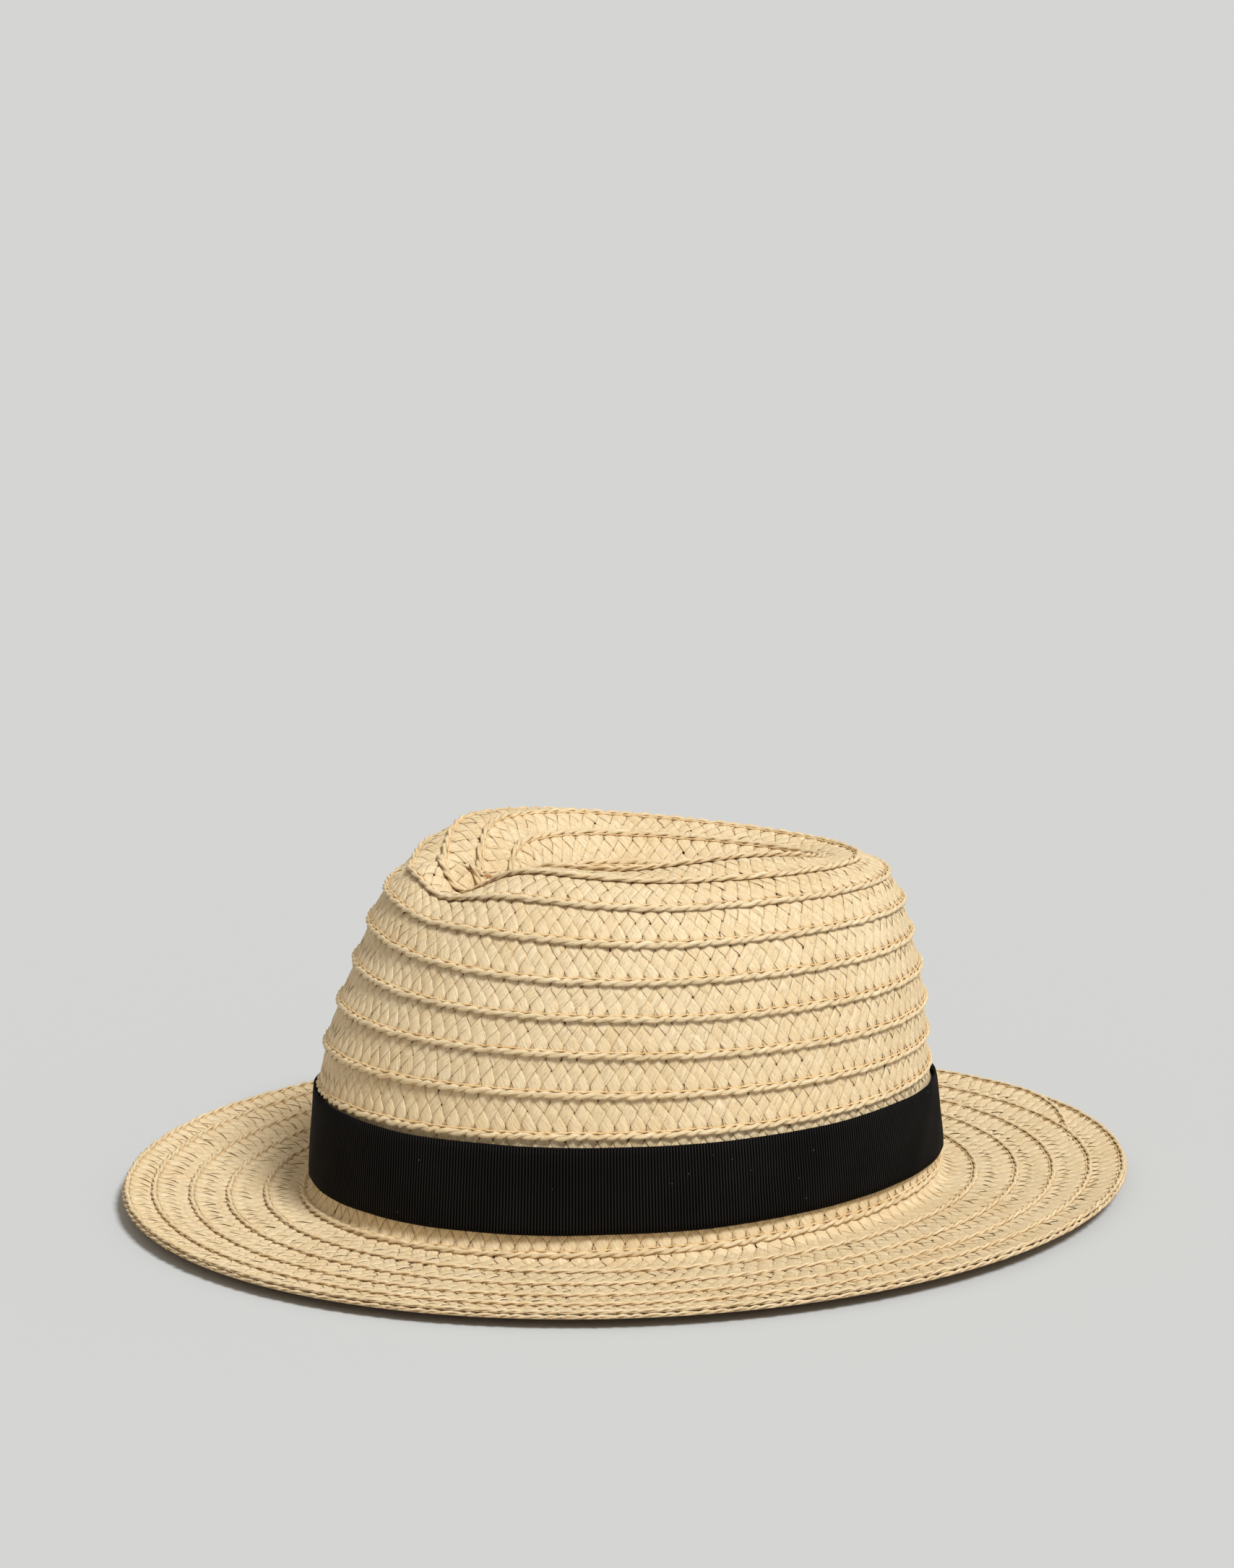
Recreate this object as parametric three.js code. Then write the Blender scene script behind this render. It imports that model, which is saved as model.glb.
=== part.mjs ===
// Straw fedora: a flat straw braid wound in one spiral from the middle of the tip, over the dented
// crown and down to the brim's edge, with a grosgrain ribbon outside and a sweatband inside.
// Millimetres, +Z up, the front of the hat towards -Y, the brim resting on z = 0.
import * as THREE from "three";

// ---- Driving dimensions ------------------------------------------------------------------------
const STRAW = 2.2;              // thickness of the sewn straw, where one round laps over the next
const GAP = 0.3;                // clearance kept between neighbouring pieces
const PITCH = 12.1;             // visible width of one round of braid
const FIRST_EDGE = 15.1;        // distance from the tip's middle to the first round's edge, at LINE_ANGLE
const LINE_ANGLE = -18;         // degrees; where FIRST_EDGE is measured
const SEAM_ANGLE = 150;         // degrees; where each round hands over to the next
const ROUNDS = 20;
const BRIM_SHIFT = { by: 4.2, angle: 85, width: 50, from: 185, over: 15 }; // wider rounds at the back
const STEPS = 48;               // flat steps in one round

// Stations of the meridian, as distances along the straw from the tip's middle.
const CREST = 58.5;             // top rim of the dented crown
const WALL_FOOT = 147.6;        // below here the plan keeps the head's oval
const RIBBON_TOP = 150.6;
const RIBBON_WIDTH = 27;
const RIBBON_BOTTOM = RIBBON_TOP + RIBBON_WIDTH;
const BREAK_START = RIBBON_BOTTOM + 2;
const BREAK_END = BREAK_START + 9;
const FLAT_END = BREAK_END + 20; // the flat ring that the hat rests on
const BRIM_EDGE = 244.8;

// Slopes of the meridian, in degrees below level.
const BOWL_SLOPE = 47.5;        // steepest slope inside the dent
const WALL_LEAN = 5.15;         // how far the lower wall leans in from upright
const SHOULDER = 21.1;          // length over which the wall turns level at the crest
const BRIM_RISE = 3.9;          // how far the brim's edge curls up above its flat ring
const BRIM_CURL = { power: 1.6, sides: 0.3, front: 0.4, twist: 0.8 }; // how uneven that curl is

// The hat's plan is an oval: each round is longer than it is wide by these amounts.
const OVAL_BASE = 18.8;
const OVAL_FRONT = { crest: 10.0, wall: 10.5 };
const OVAL_BACK = { crest: 29.4, wall: 21.8 };
const WALL_MIDDLE = 45;         // distance from the crest to where the "wall" values hold
const CROWN_FALL = 0.00092;     // the crown is lower towards the back by this factor per millimetre
const FALL_RANGE = { from: 10, over: 50 }; // heights over which that fall sets in
const TEARDROP = 0.17;          // narrowing of the crown's top towards the front
const TEARDROP_FADE = 60;       // distance below the crest over which it dies out
const TIP_MIDDLE_BACK = 9;      // the tip's middle lies this far behind the brim's
const PINCH = { angle: -70, width: 16.3, at: 51.3, length: 24.3, depth: 18.7 };
const PINCH_WAY = { inward: 0.38, back: 0.07, down: 0.99 };
const PINCH_START = 20;         // the tip's middle is left unpressed out to here
const TWIST = { rise: 0.03, halfWidth: 45, pivot: 32, from: 60, over: 40 }; // left crest up at the back
const FRONT_DENT = { angle: -90, width: 39, at: 82, length: 24, depth: 3 }; // between the pinches
const FOLD = { angle: 26, width: 38, at: 47, length: 9, height: 6.5 }; // left side of the dent, folded up

const SWEATBAND = { top: 146, bottom: 178, thickness: 1.0 };
const RIBBON = { thickness: 0.9, joinAngle: 118, lap: 10 };
const UNDERLAY = { inner: BRIM_EDGE - 10.5, outer: BRIM_EDGE + 0.6, thickness: 1.3 };
const LABEL = { top: 153, bottom: 169, halfAngle: 8, thickness: 0.4 };

const STRAW_COLOURS = [0xdfc08a, 0xdcbc84, 0xe3c691];
const RIBBON_COLOUR = 0x0c0c0e;
const SWEATBAND_COLOUR = 0x17171a;
const LABEL_COLOUR = 0xf2f0ea;

// ---- The hat's surface -------------------------------------------------------------------------
const radians = THREE.MathUtils.degToRad;

function smooth(t) {
  const c = THREE.MathUtils.clamp(t, 0, 1);
  return c * c * (3 - 2 * c);
}

// A rounded bump, 1 in its middle.
function bell(distance, width) {
  return Math.exp(-((distance / width) ** 2));
}

// Degrees from centre to angle, between -180 and 180.
function turnFrom(centre, angle) {
  return THREE.MathUtils.euclideanModulo(angle - centre + 180, 360) - 180;
}

function slopeAt(s) {
  if (s < CREST) return -BOWL_SLOPE * Math.sin((Math.PI * s) / CREST);
  const wall = 90 - (WALL_LEAN + (90 - WALL_LEAN) * Math.exp(-(s - CREST) / SHOULDER));
  return wall * (1 - smooth((s - BREAK_START) / (BREAK_END - BREAK_START)));
}

// The meridian as a table of reach and height, summed along the slope in short steps.
const MERIDIAN_STEP = 0.1;
const meridian = [{ reach: 0, height: 0 }];
for (let s = MERIDIAN_STEP / 2; s < BRIM_EDGE + PITCH; s += MERIDIAN_STEP) {
  const last = meridian[meridian.length - 1];
  const slope = radians(slopeAt(s));
  meridian.push({
    reach: last.reach + Math.cos(slope) * MERIDIAN_STEP,
    height: last.height - Math.sin(slope) * MERIDIAN_STEP,
  });
}
const FLAT_HEIGHT = meridian[meridian.length - 1].height;

function meridianAt(s) {
  const place = s / MERIDIAN_STEP;
  const low = Math.min(Math.floor(place), meridian.length - 2);
  const part = place - low;
  const a = meridian[low];
  const b = meridian[low + 1];
  return {
    reach: a.reach + (b.reach - a.reach) * part,
    height: a.height + (b.height - a.height) * part - FLAT_HEIGHT + STRAW,
  };
}

// How much longer than wide the plan is at station s, on the front or the back half.
function ovalAt(s, half) {
  const upper = smooth((s - CREST) / WALL_MIDDLE);
  const lower = smooth((s - CREST - WALL_MIDDLE) / (WALL_FOOT - CREST - WALL_MIDDLE));
  return half.crest + (half.wall - half.crest) * upper + (OVAL_BASE - half.wall) * lower;
}

// A point of the outer surface: s along the straw from the tip's middle, angle in degrees from +X.
function surfacePoint(s, angle) {
  const a = radians(angle);
  const sine = Math.sin(a);
  const { reach, height } = meridianAt(s);
  const oval = ovalAt(s, sine < 0 ? OVAL_FRONT : OVAL_BACK);
  const crownTop = 1 - smooth((s - CREST) / TEARDROP_FADE);
  const fall = CROWN_FALL * smooth((height - FALL_RANGE.from) / FALL_RANGE.over);
  let x = reach * Math.cos(a) * (1 - TEARDROP * crownTop * smooth(-sine));
  let y = (reach + oval) * sine;
  let z = height * (1 - fall * y);
  for (const side of [1, -1]) {
    const centre = side > 0 ? PINCH.angle : 180 - PINCH.angle;
    const press = PINCH.depth * bell(turnFrom(centre, angle), PINCH.width)
      * bell(s - PINCH.at, PINCH.length) * smooth(s / PINCH_START);
    x -= side * PINCH_WAY.inward * press;
    y += PINCH_WAY.back * press;
    z -= PINCH_WAY.down * press;
  }
  y += FRONT_DENT.depth * bell(turnFrom(FRONT_DENT.angle, angle), FRONT_DENT.width)
    * bell(s - FRONT_DENT.at, FRONT_DENT.length);
  z += TWIST.rise * (x / TWIST.halfWidth) * (y - TWIST.pivot) * smooth((z - TWIST.from) / TWIST.over);
  z += FOLD.height * bell(turnFrom(FOLD.angle, angle), FOLD.width) * bell(s - FOLD.at, FOLD.length);
  const uneven = -BRIM_CURL.sides * Math.cos(2 * a) - BRIM_CURL.front * sine
    + BRIM_CURL.twist * Math.sin(2 * a);
  const out = Math.max((s - FLAT_END) / (BRIM_EDGE - FLAT_END), 0);
  z += (BRIM_RISE + uneven) * out ** BRIM_CURL.power;
  return new THREE.Vector3(x, y, z);
}

// The same point moved out along the surface's own normal by "lift".
const SLOPE_STEP = { along: 0.2, around: 0.3 }; // millimetres and degrees to each side
function offsetPoint(s, angle, lift) {
  const nearer = Math.max(s - SLOPE_STEP.along, 0);
  const along = surfacePoint(s + SLOPE_STEP.along, angle).sub(surfacePoint(nearer, angle));
  const around = surfacePoint(s, angle + SLOPE_STEP.around)
    .sub(surfacePoint(s, angle - SLOPE_STEP.around));
  const normal = along.cross(around).normalize();
  return surfacePoint(s, angle).addScaledVector(normal, lift);
}

// ---- Solids ------------------------------------------------------------------------------------
function solidFrom(points, faces) {
  const geometry = new THREE.BufferGeometry();
  const positions = new Float32Array(points.flatMap((p) => [p.x, p.y, p.z]));
  geometry.setAttribute("position", new THREE.BufferAttribute(positions, 3));
  geometry.setIndex(faces.flat());
  geometry.computeVertexNormals();
  return geometry;
}

// A strip of the shell, swept around the hat. inner(angle) and outer(angle) give its two edges as
// stations; low(angle) and high(angle) give its two faces as lifts off the hat's surface.
function stripSolid({ start, end, steps, inner, outer, low, high, bands }) {
  const points = [];
  const faces = [];
  const ring = 2 * (bands + 1);
  for (let i = 0; i <= steps; i += 1) {
    const angle = start + ((end - start) * i) / steps;
    for (let j = 0; j <= bands; j += 1) {
      const s = inner(angle) + ((outer(angle) - inner(angle)) * j) / bands;
      points.push(offsetPoint(s, angle, high(angle)));
    }
    for (let j = bands; j >= 0; j -= 1) {
      const s = inner(angle) + ((outer(angle) - inner(angle)) * j) / bands;
      points.push(offsetPoint(s, angle, low(angle)));
    }
  }
  const clockwise = end < start;
  const push = (a, b, c) => faces.push(clockwise ? [a, c, b] : [a, b, c]);
  for (let i = 0; i < steps; i += 1) {
    for (let j = 0; j < ring; j += 1) {
      const a = i * ring + j;
      const b = i * ring + ((j + 1) % ring);
      push(a, b, b + ring);
      push(a, b + ring, a + ring);
    }
  }
  for (let j = 0; j < bands; j += 1) {
    const [a, b, c, d] = [j, j + 1, ring - 2 - j, ring - 1 - j];
    push(a, c, b);
    push(a, d, c);
    const last = steps * ring;
    push(last + a, last + b, last + c);
    push(last + a, last + c, last + d);
  }
  return solidFrom(points, faces);
}

// The small oval at the tip's middle, where the braid starts.
function centreSolid(edge) {
  const top = surfacePoint(0, 0).setX(0).setY(TIP_MIDDLE_BACK);
  const points = [top, top.clone().setZ(top.z - STRAW)];
  const faces = [];
  for (let i = 0; i < STEPS; i += 1) {
    const angle = (360 * i) / STEPS;
    points.push(offsetPoint(edge, angle, 0), offsetPoint(edge, angle, -STRAW));
  }
  for (let i = 0; i < STEPS; i += 1) {
    const a = 2 + 2 * i;
    const b = 2 + 2 * ((i + 1) % STEPS);
    faces.push([0, a, b], [1, b + 1, a + 1], [a, a + 1, b + 1], [a, b + 1, b]);
  }
  return solidFrom(points, faces);
}

// ---- Assembly ----------------------------------------------------------------------------------
const hat = new THREE.Group();

function add(name, geometry, color, roughness) {
  const material = new THREE.MeshStandardMaterial({ color, roughness, metalness: 0 });
  const mesh = new THREE.Mesh(geometry, material);
  mesh.name = name;
  hat.add(mesh);
}

// The outer edge of round k, as a station: it moves out by one pitch in each turn.
function roundEdge(k, angle) {
  const edge = FIRST_EDGE + PITCH * (k - (angle - LINE_ANGLE) / 360);
  const shift = BRIM_SHIFT.by * bell(turnFrom(BRIM_SHIFT.angle, angle), BRIM_SHIFT.width);
  return edge + shift * smooth((edge - BRIM_SHIFT.from) / BRIM_SHIFT.over);
}

function roundName(k) {
  const atFront = roundEdge(k, -90) - PITCH / 2;
  if (atFront < CREST) return `tip_round_${k + 1}`;
  if (atFront < BREAK_START) return `crown_round_${k + 1}`;
  return `brim_round_${k + 1}`;
}

const CENTRE_EDGE = 4;
const ROUND_GAP = 1.0;          // open seam between two rounds, measured along the straw
// Degrees left open at each end of a round, so that it doesn't touch the round it hands over to.
const seamClearance = (s) => THREE.MathUtils.radToDeg(ROUND_GAP / 2 / meridianAt(s).reach);
const BEND_ROUNDS = [1, 2, 3, 4, 5, 6, 14];

add("tip_centre", centreSolid(CENTRE_EDGE), STRAW_COLOURS[0], 0.7);
for (let k = 0; k < ROUNDS; k += 1) {
  const first = k === 0;
  const last = k === ROUNDS - 1;
  const clearance = seamClearance(roundEdge(k - 0.5, SEAM_ANGLE));
  const round = stripSolid({
    start: SEAM_ANGLE - clearance,
    end: SEAM_ANGLE - 360 + clearance,
    steps: STEPS,
    inner: (angle) => (first ? CENTRE_EDGE : roundEdge(k - 1, angle)) + ROUND_GAP,
    outer: (angle) => (last ? BRIM_EDGE : roundEdge(k, angle)),
    low: () => -STRAW,
    high: () => 0,
    bands: BEND_ROUNDS.includes(k) ? 2 : 1,
  });
  add(roundName(k), round, STRAW_COLOURS[k % STRAW_COLOURS.length], 0.7);
}

add("brim_edge_underlay", stripSolid({
  start: SEAM_ANGLE,
  end: SEAM_ANGLE - 360 + 2 * seamClearance(BRIM_EDGE),
  steps: STEPS,
  inner: () => UNDERLAY.inner,
  outer: () => UNDERLAY.outer,
  low: () => -STRAW - GAP - UNDERLAY.thickness,
  high: () => -STRAW - GAP,
  bands: 1,
}), STRAW_COLOURS[1], 0.7);

// The ribbon goes once around the crown, and its free end laps over where it started.
const ribbonEnd = RIBBON.joinAngle - 360 - RIBBON.lap;
const ribbonRise = (angle) => smooth((ribbonEnd + 2 * RIBBON.lap - angle) / RIBBON.lap)
  * (RIBBON.thickness + GAP);
add("ribbon_band", stripSolid({
  start: RIBBON.joinAngle,
  end: ribbonEnd,
  steps: STEPS + 4,
  inner: () => RIBBON_TOP,
  outer: () => RIBBON_BOTTOM,
  low: (angle) => GAP + ribbonRise(angle),
  high: (angle) => GAP + RIBBON.thickness + ribbonRise(angle),
  bands: 1,
}), RIBBON_COLOUR, 0.85);

const sweatbandFace = -STRAW - GAP;
add("sweatband", stripSolid({
  start: 90,
  end: -270 + 2 * seamClearance(RIBBON_TOP),
  steps: STEPS,
  inner: () => SWEATBAND.top,
  outer: () => SWEATBAND.bottom,
  low: () => sweatbandFace - SWEATBAND.thickness,
  high: () => sweatbandFace,
  bands: 1,
}), SWEATBAND_COLOUR, 0.9);

const labelFace = sweatbandFace - SWEATBAND.thickness - 2 * GAP;
add("care_label", stripSolid({
  start: 90 + LABEL.halfAngle,
  end: 90 - LABEL.halfAngle,
  steps: 4,
  inner: () => LABEL.top,
  outer: () => LABEL.bottom,
  low: () => labelFace - LABEL.thickness,
  high: () => labelFace,
  bands: 1,
}), LABEL_COLOUR, 0.6);

export default hat;
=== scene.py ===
"""Straw fedora: one length of woven straw braid, sewn in a spiral from the middle of the tip to the
brim's edge, with a grosgrain ribbon outside and a sweatband inside. Lengths along the hat's surface
are in millimetres, as in the frame's own source, and every mesh is made in metres."""
import math

import bpy
import numpy as np
from mathutils import Matrix, Vector


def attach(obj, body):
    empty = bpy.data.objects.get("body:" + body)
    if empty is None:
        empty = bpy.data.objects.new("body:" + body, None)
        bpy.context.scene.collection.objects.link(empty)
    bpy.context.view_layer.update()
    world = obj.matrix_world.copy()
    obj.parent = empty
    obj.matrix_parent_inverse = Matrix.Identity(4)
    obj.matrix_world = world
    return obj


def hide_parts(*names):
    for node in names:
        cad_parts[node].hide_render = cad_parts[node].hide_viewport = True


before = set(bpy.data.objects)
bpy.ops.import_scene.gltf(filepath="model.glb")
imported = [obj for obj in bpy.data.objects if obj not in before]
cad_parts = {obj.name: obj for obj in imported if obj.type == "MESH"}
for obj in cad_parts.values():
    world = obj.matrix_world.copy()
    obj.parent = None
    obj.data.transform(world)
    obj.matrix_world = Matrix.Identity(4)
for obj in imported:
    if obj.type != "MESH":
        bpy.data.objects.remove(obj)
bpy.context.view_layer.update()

MM = 0.001
TAU = 2 * math.pi

# ---- The hat's surface: the same shape as the frame's -------------------------------------------
# Stations are distances along the straw from the tip's middle; angles are degrees from +X.
STRAW = 2.2                     # thickness of the frame's straw
PITCH = 12.1                    # visible width of one round of braid
FIRST_EDGE = 15.1               # distance from the tip's middle to the first round's edge
LINE_ANGLE = -18                # where FIRST_EDGE is measured
SEAM_ANGLE = 150                # where each round hands over to the next
ROUNDS = 20
BRIM_SHIFT = {"by": 4.2, "angle": 85, "width": 50, "from": 185, "over": 15}  # wider at the back
CREST = 58.5                    # top rim of the dented crown
WALL_FOOT = 147.6               # below here the plan keeps the head's oval
RIBBON_TOP = 150.6
RIBBON_WIDTH = 27.0
RIBBON_BOTTOM = RIBBON_TOP + RIBBON_WIDTH
BREAK_START = RIBBON_BOTTOM + 2  # the wall turns into the brim from here
BREAK_END = BREAK_START + 9
FLAT_END = BREAK_END + 20       # outer end of the flat ring that the hat rests on
BRIM_EDGE = 244.8
BOWL_SLOPE = 47.5               # steepest slope inside the dent
WALL_LEAN = 5.15                # how far the lower wall leans in from upright
SHOULDER = 21.1                 # length over which the wall turns level at the crest
BRIM_RISE = 3.9                 # how far the brim's edge curls up above its flat ring
BRIM_CURL = {"power": 1.6, "sides": 0.3, "front": 0.4, "twist": 0.8}  # how uneven that curl is
# The hat's plan is an oval: each round is longer than it is wide by these amounts.
OVAL_BASE = 18.8
OVAL_FRONT = {"crest": 10.0, "wall": 10.5}
OVAL_BACK = {"crest": 29.4, "wall": 21.8}
WALL_MIDDLE = 45                # distance from the crest to where the "wall" values hold
CROWN_FALL = 0.00092            # the crown is lower towards the back by this per millimetre
FALL_HEIGHTS = {"from": 10, "over": 50}  # where that fall sets in
TEARDROP = 0.17                 # narrowing of the crown's top towards the front
TEARDROP_FADE = 60              # distance below the crest over which it dies out
PINCH = {"angle": -70, "width": 16.3, "at": 51.3, "length": 24.3, "depth": 18.7}  # and its mirror
PINCH_WAY = {"inward": 0.38, "back": 0.07, "down": 0.99}
PINCH_START = 20                # the tip's middle is left unpressed out to here
TWIST = {"rise": 0.03, "half_width": 45, "pivot": 32, "from": 60, "over": 40}
FRONT_DENT = {"angle": -90, "width": 39, "at": 82, "length": 24, "depth": 3}  # between pinches
FOLD = {"angle": 26, "width": 38, "at": 47, "length": 9, "height": 6.5}  # left side of the dent
MERIDIAN_STEP = 0.1
SLOPE_STEP = {"along": 0.2, "around": 0.3}  # over which the surface's own slope is taken


def smooth(t):
    c = np.clip(t, 0, 1)
    return c * c * (3 - 2 * c)


def set_in(value, span):
    """0 up to the span's "from", then rising to 1 over the span's length."""
    return smooth((value - span["from"]) / span["over"])


def bell(distance, width):
    """A rounded bump, 1 in its middle."""
    return np.exp(-((distance / width) ** 2))


def turn_from(centre, angle):
    """Degrees from centre to angle, between -180 and 180."""
    return np.mod(angle - centre + 180, 360) - 180


def slope_at(s):
    """The meridian's slope, in radians below level."""
    bowl = -BOWL_SLOPE * np.sin(np.pi * s / CREST)
    wall = 90 - (WALL_LEAN + (90 - WALL_LEAN) * np.exp(-(s - CREST) / SHOULDER))
    wall = wall * (1 - smooth((s - BREAK_START) / (BREAK_END - BREAK_START)))
    return np.radians(np.where(s < CREST, bowl, wall))


def meridian_table():
    """Stations, with their reach from the middle and their height, summed along the slope."""
    middles = np.arange(MERIDIAN_STEP / 2, BRIM_EDGE + 2 * PITCH, MERIDIAN_STEP)
    slopes = slope_at(middles)
    reach = np.concatenate([[0], np.cumsum(np.cos(slopes) * MERIDIAN_STEP)])
    height = np.concatenate([[0], np.cumsum(-np.sin(slopes) * MERIDIAN_STEP)])
    return np.arange(len(reach)) * MERIDIAN_STEP, reach, height - height[-1] + STRAW


TABLE_S, TABLE_REACH, TABLE_HEIGHT = meridian_table()


def oval_at(s, half):
    """How much longer than wide the plan is, on the front or the back half."""
    upper = smooth((s - CREST) / WALL_MIDDLE)
    lower = smooth((s - CREST - WALL_MIDDLE) / (WALL_FOOT - CREST - WALL_MIDDLE))
    on_wall = (half["wall"] - half["crest"]) * upper
    return half["crest"] + on_wall + (OVAL_BASE - half["wall"]) * lower


def surface(s, angle):
    """Points of the hat's outer surface, in millimetres: s and angle are arrays of one shape."""
    a = np.radians(angle)
    sine = np.sin(a)
    reach = np.interp(s, TABLE_S, TABLE_REACH)
    height = np.interp(s, TABLE_S, TABLE_HEIGHT)
    oval = np.where(sine < 0, oval_at(s, OVAL_FRONT), oval_at(s, OVAL_BACK))
    crown_top = 1 - smooth((s - CREST) / TEARDROP_FADE)
    fall = CROWN_FALL * set_in(height, FALL_HEIGHTS)
    x = reach * np.cos(a) * (1 - TEARDROP * crown_top * smooth(-sine))
    y = (reach + oval) * sine
    z = height * (1 - fall * y)
    for side in (1, -1):
        centre = PINCH["angle"] if side > 0 else 180 - PINCH["angle"]
        press = PINCH["depth"] * bell(turn_from(centre, angle), PINCH["width"])
        press = press * bell(s - PINCH["at"], PINCH["length"]) * smooth(s / PINCH_START)
        x = x - side * PINCH_WAY["inward"] * press
        y = y + PINCH_WAY["back"] * press
        z = z - PINCH_WAY["down"] * press
    front = bell(turn_from(FRONT_DENT["angle"], angle), FRONT_DENT["width"])
    y = y + FRONT_DENT["depth"] * front * bell(s - FRONT_DENT["at"], FRONT_DENT["length"])
    crown = set_in(z, TWIST)
    z = z + TWIST["rise"] * (x / TWIST["half_width"]) * (y - TWIST["pivot"]) * crown
    fold = bell(turn_from(FOLD["angle"], angle), FOLD["width"])
    fold = fold * bell(s - FOLD["at"], FOLD["length"])
    z = z + FOLD["height"] * fold
    uneven = -BRIM_CURL["sides"] * np.cos(2 * a) - BRIM_CURL["front"] * sine
    uneven = uneven + BRIM_CURL["twist"] * np.sin(2 * a)
    out = np.maximum((s - FLAT_END) / (BRIM_EDGE - FLAT_END), 0)
    z = z + (BRIM_RISE + uneven) * out ** BRIM_CURL["power"]
    return np.stack([x, y, z], axis=-1)


def shell(s, angle, lift):
    """The surface's points, each moved out along the surface's own normal by its lift."""
    s = np.maximum(s, SLOPE_STEP["along"])
    along = surface(s + SLOPE_STEP["along"], angle) - surface(s - SLOPE_STEP["along"], angle)
    around = surface(s, angle + SLOPE_STEP["around"]) - surface(s, angle - SLOPE_STEP["around"])
    normal = np.cross(along, around)
    normal /= np.maximum(np.linalg.norm(normal, axis=-1, keepdims=True), 1e-9)
    return surface(s, angle) + normal * np.asarray(lift)[..., None]


# ---- Meshes -------------------------------------------------------------------------------------
def add_object(name, data):
    made = bpy.data.objects.new(name, data)
    bpy.context.scene.collection.objects.link(made)
    return made


def tube_faces(tubes, rings, sides):
    """Quads round each tube and its two end caps, for points laid out as (tube, ring, side)."""
    base = np.arange(tubes)[:, None, None] * rings * sides
    ring = np.arange(rings - 1)[None, :, None]
    side = np.arange(sides)[None, None, :]
    after = (side + 1) % sides
    corners = [base + ring * sides + side, base + ring * sides + after,
               base + (ring + 1) * sides + after, base + (ring + 1) * sides + side]
    quads = np.stack(np.broadcast_arrays(*corners), axis=-1).reshape(-1, 4)
    first = base[:, 0, 0][:, None] + np.arange(sides)[None, ::-1]
    last = base[:, 0, 0][:, None] + (rings - 1) * sides + np.arange(sides)[None, :]
    return quads, np.concatenate([first, last])


def make_mesh(name, groups, material, attributes):
    """One object from groups of tubes. Each group has "points" of shape (tube, ring, side, 3), in
    millimetres, and one array per attribute: a vector per point, or a number per point."""
    points = []
    faces = []
    start = 0
    for group in groups:
        tubes, rings, sides, _ = group["points"].shape
        quads, caps = tube_faces(tubes, rings, sides)
        if group.get("flip"):
            quads, caps = quads[:, ::-1], caps[:, ::-1]
        faces += [quads + start, caps + start]
        points.append(group["points"].reshape(-1, 3))
        start += tubes * rings * sides
    points = np.concatenate(points) * MM
    mesh = bpy.data.meshes.new(name)
    mesh.vertices.add(len(points))
    mesh.vertices.foreach_set("co", points.astype(np.float32).ravel())
    loops = np.concatenate([f.ravel() for f in faces])
    counts = np.concatenate([np.full(len(f), f.shape[1]) for f in faces])
    mesh.loops.add(len(loops))
    mesh.loops.foreach_set("vertex_index", loops.astype(np.int32))
    mesh.polygons.add(len(counts))
    mesh.polygons.foreach_set("loop_start", (np.cumsum(counts) - counts).astype(np.int32))
    mesh.polygons.foreach_set("use_smooth", np.ones(len(counts), dtype=bool))
    for key in attributes:
        values = np.concatenate([group[key].reshape(-1, 3) if group[key].ndim == 4
                                 else group[key].ravel() for group in groups])
        kind = "FLOAT_VECTOR" if values.ndim == 2 else "FLOAT"
        layer = mesh.attributes.new(key, kind, "POINT")
        layer.data.foreach_set("vector" if values.ndim == 2 else "value",
                               values.astype(np.float32).ravel())
    mesh.materials.append(material)
    mesh.update(calc_edges=True)
    mesh.validate()
    return add_object(name, mesh)


def add_to_frame(obj, slot, *nodes):
    """Every piece rides on the hat's one body; some stand for a node of the frame."""
    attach(obj, "root")
    if nodes:
        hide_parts(*nodes)


# ---- Materials ----------------------------------------------------------------------------------
STRAW_COLOURS = {
    "dark": (0.73, 0.535, 0.286, 1),
    "pale": (0.94, 0.80, 0.56, 1),
    "warm": (0.80, 0.605, 0.335, 1),
    "patch": (0.94, 0.795, 0.55, 1),
    # painted shade: multiplied into the straw where strands go under, on rope plies' undersides and
    # on the lining
    "sunk": (0.56, 0.385, 0.22, 1),
}
THREAD_COLOURS = {"dark": (0.66, 0.43, 0.19, 1), "pale": (0.86, 0.67, 0.39, 1)}
RIBBON_COLOURS = {
    "painted_groove_shade": (0.0008, 0.0007, 0.0007, 1),
    "dark": (0.0048, 0.0044, 0.0046, 1),
    "faded": (0.0105, 0.0094, 0.0094, 1),
    "lint": (0.10, 0.095, 0.10, 1),
}
SWEATBAND_COLOURS = {"dark": (0.008, 0.008, 0.009, 1), "pale": (0.02, 0.02, 0.022, 1)}
LABEL_COLOURS = {"dark": (0.70, 0.68, 0.62, 1), "pale": (0.86, 0.85, 0.80, 1)}
FLOOR_COLOUR = (0.557, 0.581, 0.606, 1)
GROSGRAIN_WARP = 0.28           # width of one fine warp thread
LINT_SCALE = 420.0
LINT_SHARE = 0.93               # specks below this share stay out of sight


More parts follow.
